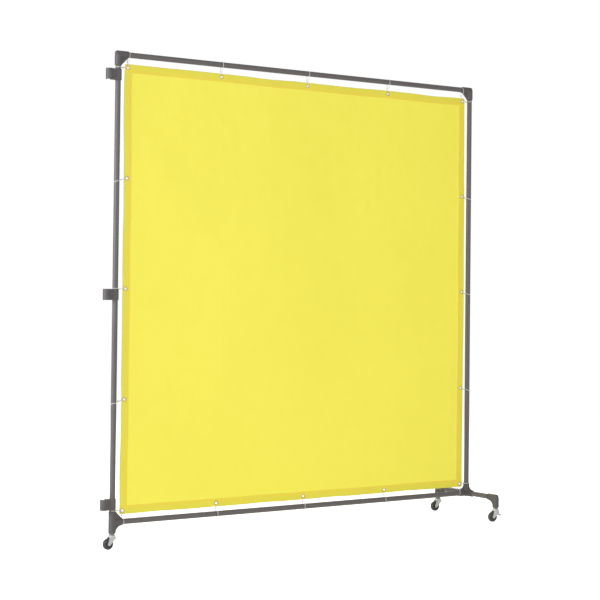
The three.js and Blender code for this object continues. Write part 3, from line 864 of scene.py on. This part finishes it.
EYELET_OUTLINE = [(11.3, -0.66), (11.4, -1.0), (10.3, -1.6), (8.4, -1.85), (6.2, -1.65), (5.1, -0.8),
                  (5.1, 0.8), (6.2, 1.65), (8.4, 1.75), (10.3, 1.45), (11.4, 1.0), (11.3, 0.66),
                  (6.8, 0.66), (6.8, -0.66)]


def eyelets(material):
    shape = lathe(rounded(EYELET_OUTLINE, 0.6, steps=3), EYELET_SIDES, "y")
    for name, column, row in eyelet_names():
        piece(name, shape, material, place=eyelet_place(column, row), body="frame")


# ---- cable ties


def loop_path(reach, offset, pitch=1.25):
    """A closed path round the pipe and through the eyelet, in the plane of (towards the eyelet, behind)."""
    pipe_bend = PIPE_RADIUS + TIE_PIPE_GAP + offset
    end_bend = TIE_END_RADIUS + offset
    end_at = reach - TIE_END_INSET - TIE_END_RADIUS
    lean = math.acos((pipe_bend - end_bend) / end_at)
    arcs = [(0, pipe_bend, lean, 2 * math.pi - lean), (end_at, end_bend, -lean, lean)]
    points = []
    for centre, bend, start, end in arcs:
        steps = max(6, round(bend * (end - start) / pitch))
        for k in range(steps + 1):
            angle = start + (end - start) * k / steps
            points.append((centre + bend * math.cos(angle), bend * math.sin(angle)))
    closed = points + points[:1]
    path = []
    for (x0, y0), (x1, y1) in zip(closed, closed[1:]):
        steps = max(1, round(math.hypot(x1 - x0, y1 - y0) / pitch))
        path.extend((x0 + (x1 - x0) * k / steps, y0 + (y1 - y0) * k / steps) for k in range(steps))
    return np.array(path)


def head_shape():
    """The tie's head: a rounded block with a slot for the tail. X along the band, Z out of it."""

    def field(p):
        solid = block(p, (-2.6, -2.4, -0.6), (2.6, 2.4, 4.0), 0.7)
        return cut(solid, block(p, (-9, -1.6, 1.1), (9, 1.6, 2.8), 0.2), 0.3)

    return surface(field, (-2.6, -2.4, -0.6), (2.6, 2.4, 4.0), TIE_CELL)


def band(path, rise, first_tooth=3, last_tooth=-2):
    """A toothed strap along an open path. rise lifts each station off the path."""
    ahead = np.gradient(path, axis=0)
    ahead /= np.linalg.norm(ahead, axis=1)[:, None]
    out = np.stack([ahead[:, 1], -ahead[:, 0]], 1)
    half_width, half_thick = TIE_WIDTH / 2, TIE_THICKNESS / 2
    section = rounded([(-half_width, -half_thick), (half_width, -half_thick),
                       (half_width, half_thick), (-half_width, half_thick)], 0.3, steps=1)
    vertices, faces = [], []
    for n, (point, normal, lift) in enumerate(zip(path, out, rise)):
        toothed = n % 2 and first_tooth < n < len(path) + last_tooth
        for across, thick in section:
            inner = thick < 0 and abs(across) < half_width - 0.1
            t = thick + lift + (TIE_TOOTH if toothed and inner else 0)
            vertices.append((point[0] + normal[0] * t, point[1] + normal[1] * t, across))
    size = len(section)
    for n in range(len(path) - 1):
        for k in range(size):
            a, b = n * size + k, n * size + (k + 1) % size
            faces.append([a, b, b + size, a + size])
    faces.append(list(range(size))[::-1])
    faces.append([len(vertices) - size + k for k in range(size)])
    return np.array(vertices), faces


def tie(node, head, material):
    """A cable tie round a pipe and through an eyelet, with its head behind and its tail cut short."""
    side, number = node.split("_tie_")
    index, last = int(number) - 1, EYELETS_PER_SIDE - 1
    column, row, pipe_at, sign = {"left": (0, index, LEFT_X, 1), "right": (last, index, RIGHT_X, -1),
                                  "bottom": (index, 0, LOW_Z, 1), "top": (index, last, TOP_Z, -1)}[side]
    row_axis, reach_axis = (0, 2) if side in ("top", "bottom") else (2, 0)
    eyelet = eyelet_place(column, row)
    cad = np.array([v.co for v in frame["nodes"][node].data.vertices]) / MM
    across = (cad[:, reach_axis] - pipe_at) * sign
    far = across < -PIPE_RADIUS
    row_at_pipe = cad[far][:, row_axis].mean()
    far_across = across[far].mean()
    reach = (eyelet[reach_axis] - pipe_at) * sign
    slope = (eyelet[row_axis] - row_at_pipe) / (reach - far_across)

    loop = loop_path(reach, TIE_THICKNESS / 2)
    behind = np.nonzero(loop[:, 1] > 0)[0]
    start = behind[np.abs(loop[behind, 0] - reach * TIE_HEAD_SHARE).argmin()]
    around = np.roll(loop, -start, axis=0)
    path = np.concatenate([around, around[:TIE_TAIL]])
    lifted = [0, len(around) - 9, len(around) - 3, len(path)]
    strap, strap_faces = band(path, np.interp(np.arange(len(path)), lifted, [0, 0, 1.9, 2.1]))

    ahead = around[1] - around[0]
    ahead /= np.linalg.norm(ahead)
    turn = np.array([(ahead[0], ahead[1], 0), (0, 0, 1), (ahead[1], -ahead[0], 0)])
    head_vertices, head_faces = head
    vertices = np.concatenate([strap, head_vertices @ turn + (*around[0], 0)])
    faces = strap_faces + [[int(i) + len(strap) for i in face] for face in head_faces]

    placed = np.zeros_like(vertices)
    placed[:, reach_axis] = pipe_at + sign * vertices[:, 0]
    placed[:, 1] = PLANE_Y + vertices[:, 1]
    placed[:, row_axis] = row_at_pipe + slope * (vertices[:, 0] - far_across) + vertices[:, 2]
    piece(node + "_strap", (placed, faces), material, node)


# ---- casters
# Shapes are drawn with the stem on the Z axis, the fork along X and the wheel trailing towards -X.

WHEEL_RADIUS = 25.0
TYRE_HALF = 9.0
RIM_RADIUS = 16.8
TRAIL = 20.0
LEG_INSIDE = 10.6
LEG_OUTSIDE = 12.6
CROWN_BOTTOM, CROWN_TOP = 52.0, 56.0
FORK_TOP = 64.0
JOINT_FACE = 70.0
STEM_RADIUS = 5.0
STEM_TOP = 94.0
LEG_END_RADIUS = 7.5
AXLE_RADIUS = 3.0
PIN_RADIUS = 2.0
BRAKE_PIVOT = (10.0, 42.0)
PEDAL_TIP = (37.0, 28.0)
PEDAL_DEPTH = 5.0
PEDAL_FLAT = 12.0
PEDAL_STEEL = 1.8
BRAKE_SHOE = (7.6, 35.4)
CASTER_CELL = 0.7
HUB_CELL = 0.62
TURNED_SIDES = 40
TYRE_SIDES = 96


def caster_frame(name):
    """Turns local caster points, in millimetres, into the frame."""
    swivel = np.array(JOINTS[f"{name}_caster_swivel"]["pos_m"]) / MM
    across = np.array(JOINTS[f"{name}_wheel_roll"]["axis"], float)
    turn = np.array([np.cross(across, (0, 0, 1)), across, (0, 0, 1)])
    return lambda points: points @ turn + (swivel[0], swivel[1], 0)


def bored(solid, p, radius, centre):
    """The solid with a hole along Y whose rims are broken."""
    return cut(solid, np.hypot(p[:, 0] - centre[0], p[:, 2] - centre[1]) - radius, 0.3)


def fork_shape(has_brake):
    """Two pressed legs under a domed crown that holds the swivel's balls."""

    def field(p):
        x, z = p[:, 0], p[:, 2]
        boss = np.hypot(x + TRAIL, z - WHEEL_RADIUS) - LEG_END_RADIUS
        corners = [(-15, 58), (-26.8, 28), (-15.5, 19), (15, 48), (15, 58)]
        leg = join(polygon(x, z, corners), boss, 3.0)
        if has_brake:
            lobe = np.hypot(x - BRAKE_PIVOT[0], z - BRAKE_PIVOT[1]) - 6.0
            leg = join(leg, lobe, 3.0)
        leg = overlap(leg, z - CROWN_TOP)
        legs = overlap(leg, np.abs(np.abs(p[:, 1]) - (LEG_INSIDE + LEG_OUTSIDE) / 2) - 1.0, 0.5)
        crown = block(p, (-15, -LEG_OUTSIDE, CROWN_BOTTOM), (15, LEG_OUTSIDE, CROWN_TOP), 1.8)
        solid = join(legs, crown, 1.5)
        solid = join(solid, rod(p, 2, 16.0, CROWN_TOP - 2, FORK_TOP, 2.5), 1.5)
        solid = cut(solid, rod(p, 2, STEM_HOLE_RADIUS, CROWN_BOTTOM - 5, FORK_TOP + 5), 0.5)
        solid = bored(solid, p, AXLE_RADIUS + 0.3, (-TRAIL, WHEEL_RADIUS))
        return bored(solid, p, PIN_RADIUS + 0.3, BRAKE_PIVOT) if has_brake else solid

    return surface(field, (-28, -16, 17), (17, 16, FORK_TOP), CASTER_CELL)


def pedal_shape():
    """A pressed tread with a turned-down rim and grip ribs, an eye for its pin and a shoe for the tyre."""
    half = 9.0
    pivot_x, pivot_z = BRAKE_PIVOT
    tip_x, tip_z = PEDAL_TIP

    def field(p):
        x, z, y = p[:, 0], p[:, 2], np.abs(p[:, 1])
        eye = np.hypot(x - pivot_x, z - pivot_z) - 4.5
        top_z = tip_z + PEDAL_DEPTH
        bend_x = tip_x - PEDAL_FLAT
        slope = [(pivot_x, pivot_z + 4), (pivot_x, pivot_z - 1), (bend_x, tip_z), (bend_x + 1, top_z)]
        level = [(bend_x - 1, tip_z), (tip_x, tip_z), (tip_x, top_z), (bend_x + 1, top_z)]
        flat = join(eye, polygon(x, z, slope), 2.0)
        flat = join(flat, polygon(x, z, level), 2.0)
        shoe = np.hypot(x - BRAKE_SHOE[0], z - BRAKE_SHOE[1]) - 3.0
        flat = join(flat, shoe, 1.5)
        solid = overlap(flat, y - half, 0.9)
        corner = np.hypot(np.maximum(x - (tip_x - 6), 0), np.maximum(y - (half - 6), 0)) - 6
        solid = overlap(solid, np.where(x > tip_x - 6, corner, -5), 0.5)
        for rib in (3.5, 6.5, 9.5):
            bead = np.hypot(x - (tip_x - rib), z - top_z) - 0.8
            solid = join(solid, overlap(bead, y - 6, 0.4), 0.4)
        inside = half - PEDAL_STEEL
        hollow = block(p, (bend_x + 1, -inside, 0), (tip_x - PEDAL_STEEL, inside, top_z - PEDAL_STEEL), 0.6)
        solid = cut(solid, hollow, 0.5)
        return bored(solid, p, PIN_RADIUS + 0.3, BRAKE_PIVOT)

    return surface(field, (4, -9, 27), (38, 9, 48), CASTER_CELL)


def headed_pin(radius, head_radius, head_height):
    inner = LEG_OUTSIDE + 0.3
    outer = inner + head_height
    outline = [(0, -outer), (head_radius, -outer), (head_radius, -inner), (radius, -inner),
               (radius, inner), (head_radius, inner), (head_radius, outer), (0, outer)]
    return rounded(outline, 0.6)


def hub_shape():
    """A hub with a rim, a boss and six ribs on each side of its disc."""

    def field(p):
        radial = np.hypot(p[:, 0], p[:, 2])
        y = np.abs(p[:, 1])
        disc = overlap(radial - (RIM_RADIUS - 1), y - 2.0, 0.0)
        rim = overlap(np.abs(radial - (RIM_RADIUS + 14) / 2) - (RIM_RADIUS - 14) / 2, y - 7.5, 0.5)
        boss = overlap(radial - 9.0, y - 9.6, 0.8)
        solid = join(join(disc, rim, 1.2), boss, 1.2)
        angle = np.arctan2(p[:, 2], p[:, 0])
        turn = np.mod(angle + math.pi / 6, math.pi / 3) - math.pi / 6
        rib = overlap(overlap(np.abs(radial * np.sin(turn)) - 0.8, radial - 15), y - 5.5, 0.4)
        solid = join(solid, rib, 0.8)
        return cut(solid, radial - 5.5, 0.4)

    return surface(field, (-17, -9.6, -17), (17, 9.6, 17), HUB_CELL)


def tyre_outline():
    """A rounded tread, a moulding line in its middle and a shallow step on each wall."""
    inner = RIM_RADIUS + 0.3
    half = [(inner, 8.4), (inner + 0.8, TYRE_HALF), (20.6, TYRE_HALF), (21.0, TYRE_HALF - 0.5),
            (22.4, TYRE_HALF - 0.4), (24.2, 6.6), (24.85, 4.0), (25.0, 1.0)]
    other = [(r, -y) for r, y in reversed(half)]
    return rounded(half + other, 0.8, steps=3)


def caster(name, has_brake, zinc, rubber, plastic, shapes):
    to_frame = caster_frame(name)
    wheel = np.array([-TRAIL, 0, WHEEL_RADIUS])
    pin = np.array([BRAKE_PIVOT[0], 0, BRAKE_PIVOT[1]])
    rivet = CROWN_BOTTOM - 0.3
    stem = [(0, rivet - 2.8), (4.5, rivet - 2.8), (7.2, rivet - 1.6), (7.5, rivet), (STEM_RADIUS, rivet),
            (STEM_RADIUS, JOINT_FACE - 2.1), (9.5, JOINT_FACE - 2.1), (9.5, JOINT_FACE - 0.3),
            (STEM_RADIUS, JOINT_FACE - 0.3), (STEM_RADIUS, STEM_TOP), (0, STEM_TOP)]
    cap = [(5.4, FORK_TOP + 0.4), (12.1, FORK_TOP + 0.4), (12.5, FORK_TOP + 1.6), (11.0, FORK_TOP + 3.0),
           (8.6, FORK_TOP + 3.6), (5.4, FORK_TOP + 3.6)]
    bush = [(3.3, -10.3), (5.2, -10.3), (5.2, 10.3), (3.3, 10.3)]

    def part(node, way, shape, material, centre=(0, 0, 0)):
        vertices, faces = shape
        piece(f"{name}_{node}_{way}", (to_frame(vertices + centre), faces), material, f"{name}_{node}")

    def turned(node, outline, material, centre=(0, 0, 0), axis="y", sides=TURNED_SIDES):
        part(node, "turned", lathe(outline, sides, axis), material, centre)

    turned("caster_stem", rounded(stem, 0.6), zinc, axis="z")
    turned("caster_bearing", rounded(cap, 0.7), zinc, axis="z")
    turned("caster_axle", headed_pin(AXLE_RADIUS, 5.2, 1.8), zinc, wheel)
    turned("caster_bush", rounded(bush, 0.3), zinc, wheel)
    turned("wheel_tyre", tyre_outline(), rubber, wheel, sides=TYRE_SIDES)
    part("caster_fork", "pressed", shapes["brake_fork" if has_brake else "fork"], zinc)
    part("wheel_hub", "moulding", shapes["hub"], plastic, wheel)
    if has_brake:
        part("brake_pedal", "pressed", shapes["pedal"], zinc)
        turned("brake_pin", headed_pin(PIN_RADIUS, 3.6, 1.4), zinc, pin)


# ---- the object


def build_pipes():
    for axis, nodes in {"x": ["top_pipe", "bottom_pipe"], "z": ["left_upright", "right_upright"],
                        "y": ["front_foot_pipe", "rear_foot_pipe"]}.items():
        coat = pipe_coating(axis)
        for node in nodes:
            tube(node, axis, coat)


def build_joints():
    """Every joint of the frame. A web is (one arm's number, the other's, how hollow its edge is)."""
    plastic = joint_plastic()
    for side, x, sign in (("left", LEFT_X, 1), ("right", RIGHT_X, -1)):
        moulded_joint(f"top_{side}_elbow", (x, PLANE_Y, TOP_Z), [(0, sign, "pipe"), (2, -1, "pipe")],
                      [(0, 1, None)], plastic, elbow=True)
    moulded_joint("bottom_left_tee", (LEFT_X, PLANE_Y, LOW_Z),
                  [(0, 1, "pipe"), (2, 1, "pipe"), (2, -1, "stem")],
                  [(0, 1, None), (0, 2, WEB_HOLLOW)], plastic)
    moulded_joint("bottom_right_cross", (RIGHT_X, PLANE_Y, LOW_Z),
                  [(0, -1, "pipe"), (1, -1, "pipe"), (1, 1, "pipe"), (2, 1, "pipe")],
                  [(arm, 3, WEB_HOLLOW) for arm in range(3)], plastic, pad=True)
    for name, sign in (("front", 1), ("rear", -1)):
        foot_y = JOINTS[f"{name}_caster_swivel"]["pos_m"][1] / MM
        moulded_joint(f"{name}_foot_elbow", (RIGHT_X, foot_y, LOW_Z), [(1, sign, "pipe"), (2, -1, "stem")],
                      [(0, 1, FOOT_WEB_HOLLOW)], plastic, elbow=True, mouth=FOOT_MOUTH_EDGE)


def build_clips():
    plastic = joint_plastic("clip_plastic", tone=4)
    shape = clip_shape()
    for node in ("top_clip", "middle_clip", "bottom_clip"):
        piece(node + "_moulding", shape, plastic, node, (LEFT_X, PLANE_Y, middle_mm(node)[2]))


def build_sheet():
    sheet(sheet_vinyl())
    eyelets(eyelet_metal())
    nylon = tie_nylon()
    head = head_shape()
    for side in ("left", "top", "right", "bottom"):
        for number in range(1, EYELETS_PER_SIDE + 1):
            tie(f"{side}_tie_{number}", head, nylon)


def build_casters():
    zinc, rubber, plastic = zinc_plate(), tyre_rubber(), hub_plastic()
    shapes = {"fork": fork_shape(False), "brake_fork": fork_shape(True), "hub": hub_shape(),
              "pedal": pedal_shape()}
    for name in ("left", "front", "rear"):
        caster(name, name == "front", zinc, rubber, plastic, shapes)


# ---- stage, light and camera

FLOOR_RADIUS = 9.0
FLOOR_CLEAR = (3.4, 8.0)  # metres from the middle over which the floor fades into the background


def stage_floor():
    """A pale floor that fades into the white background, so that no horizon shows."""
    mesh = bpy.data.meshes.new("floor")
    ring = [(FLOOR_RADIUS * math.cos(a), FLOOR_RADIUS * math.sin(a), 0.0)
            for a in np.linspace(0, 2 * math.pi, 64, endpoint=False)]
    mesh.from_pydata(ring, [], [list(range(len(ring)))])
    floor = in_scene("floor", mesh)
    finish = Finish("pale_floor", Roughness=0.9, Specular_IOR_Level=0.1)
    finish.feed("Base Color", finish.mix(finish.noise(3, 4), (240, 240, 240), (246, 246, 246)))
    finish.feed("Emission Color", (1, 1, 1, 1))
    seen = finish.add("LightPath")["Is Camera Ray"]
    finish.feed("Emission Strength", finish.span(seen, 0, 1, 0.17, 0.7))
    from_middle = finish.add("VectorMath", {0: finish.where}, operation="LENGTH")["Value"]
    fade = finish.span(from_middle, *FLOOR_CLEAR, smooth=True)
    clear = finish.add("BsdfTransparent")[0]
    blend = finish.add("MixShader", {0: fade, 1: finish.shader.outputs[0], 2: clear})[0]
    finish.put(finish.tree.nodes["Material Output"].inputs["Surface"], blend)
    mesh.materials.append(finish.material)


def white_world(light):
    """An even soft light from all round, and plain white where the camera sees past the object."""
    world = bpy.data.worlds.new("studio")
    bpy.context.scene.world = world
    world.use_nodes = True
    nodes, links = world.node_tree.nodes, world.node_tree.links
    mix = nodes.new("ShaderNodeMixShader")
    links.new(nodes.new("ShaderNodeLightPath").outputs["Is Camera Ray"], mix.inputs[0])
    for number, strength in ((1, light), (2, 1.0)):
        backdrop = nodes.new("ShaderNodeBackground")
        backdrop.inputs["Color"].default_value = (1, 1, 1, 1)
        backdrop.inputs["Strength"].default_value = strength
        links.new(backdrop.outputs[0], mix.inputs[number])
    links.new(mix.outputs[0], nodes["World Output"].inputs["Surface"])


def soft_box(name, place, target, size, power, tint=(1, 1, 1)):
    light = bpy.data.lights.new(name, "AREA")
    light.color = tint
    light.shape = "RECTANGLE"
    light.size, light.size_y = size
    light.energy = power
    lamp = in_scene(name, light)
    lamp.location = place
    lamp.rotation_euler = (Vector(target) - Vector(place)).to_track_quat("-Z", "Y").to_euler()


CAMERA_PLACE = Vector((-4.3437, -6.3, 1.173))
CAMERA_YAW = math.radians(34.457)
CAMERA_PITCH = math.radians(1.405)
CAMERA_ROLL = math.radians(0.624)
CAMERA_LENS = 94.58
CAMERA_RISE = -1 / 12  # of the picture's height: the lens looks at a point above the picture's middle


def camera():
    """A long lens that sees the screen from its front left, with the far post on the right."""
    data = bpy.data.cameras.new("camera")
    data.sensor_width = 36.0
    data.lens = CAMERA_LENS
    data.shift_y = CAMERA_RISE
    data.clip_end = 100.0
    heading = Matrix.Rotation(-CAMERA_YAW, 4, "Z") @ Matrix.Rotation(math.pi / 2 + CAMERA_PITCH, 4, "X")
    made = in_scene("camera", data)
    made.matrix_world = Matrix.Translation(CAMERA_PLACE) @ heading @ Matrix.Rotation(CAMERA_ROLL, 4, "Z")
    bpy.context.scene.camera = made


def build_stage():
    stage_floor()
    white_world(light=0.57)
    middle = (CAD_LOW + CAD_HIGH) / 2
    soft_box("key", (-5.0, -3.2, 3.4), middle, (2.2, 2.2), 75)
    soft_box("side", (-6.5, 0.0, 2.1), (0, 0, 2.1), (1.2, 2.4), 260, tint=(0.9, 0.95, 1.0))
    soft_box("fill", (1.5, -6.0, 2.6), middle, (3.0, 2.0), 66)
    soft_box("rear", (2.5, 5.5, 3.2), middle, (3.0, 2.0), 100)
    camera()
    settings = bpy.context.scene.view_settings
    settings.view_transform = "Standard"
    settings.look = "None"


build_pipes()
build_joints()
build_clips()
build_sheet()
build_casters()
build_stage()
